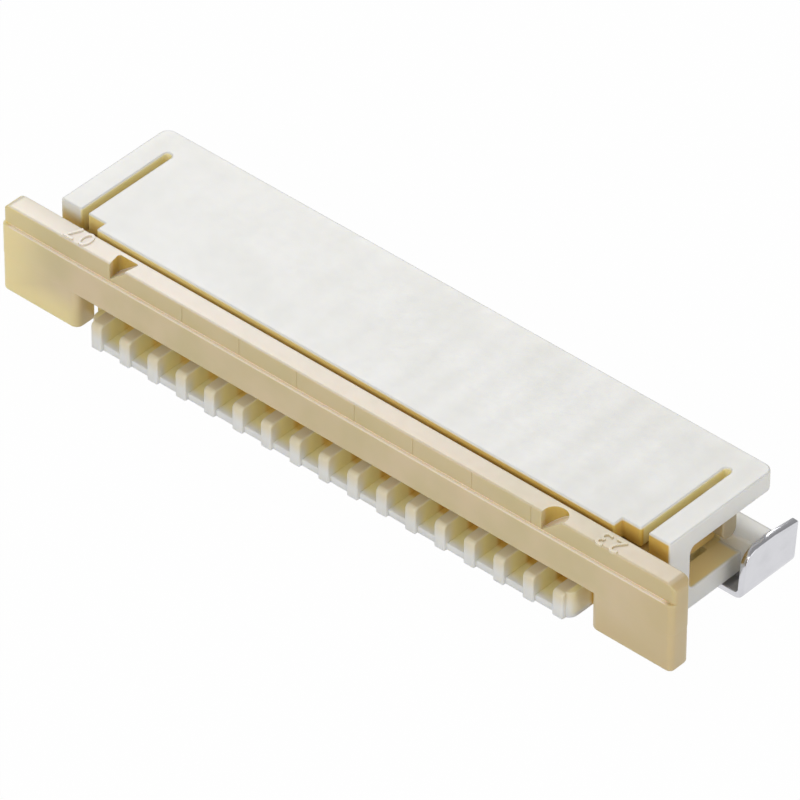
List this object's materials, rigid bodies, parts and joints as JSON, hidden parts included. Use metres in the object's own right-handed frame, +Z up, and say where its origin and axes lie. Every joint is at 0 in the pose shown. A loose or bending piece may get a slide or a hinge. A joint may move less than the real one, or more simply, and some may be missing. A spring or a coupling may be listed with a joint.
{
  "type": "fpc connector",
  "caption": "Right-angle surface-mount connector for a flat flexible cable, with a sliding lock bar, bottom contacts and a soldered board tab at each end.",
  "frame": {"origin": "on the circuit board's surface, midway along the contact row, under the front face of the closed slider", "axes": "+X along the contact row, +Y from the cable's entry towards the solder tails, +Z up from the board"},
  "size_m": [0.0232, 0.0061, 0.0029],
  "materials": {
    "housing_plastic": "moulded, satin white",
    "slider_plastic": "moulded, slightly translucent natural beige",
    "contact_plating": "tin over nickel on bronze, satin",
    "tab_tin": "bright tin plate"
  },
  "bodies": {
    "housing": {"housing": "housing_plastic", "tab_left": "tab_tin", "tab_right": "tab_tin", "contact_01": "contact_plating", "contact_02": "contact_plating", "contact_03": "contact_plating", "contact_04": "contact_plating", "contact_05": "contact_plating", "contact_06": "contact_plating", "contact_07": "contact_plating", "contact_08": "contact_plating", "contact_09": "contact_plating", "contact_10": "contact_plating", "contact_11": "contact_plating", "contact_12": "contact_plating", "contact_13": "contact_plating", "contact_14": "contact_plating", "contact_15": "contact_plating", "contact_16": "contact_plating"},
    "slider": {"slider": "slider_plastic"}
  },
  "joints": [
    {"name": "slider_slide", "type": "slide", "parent": "housing", "child": "slider", "axis": [0, -1, 0], "range_m": [0, 0.00145]}
  ]
}
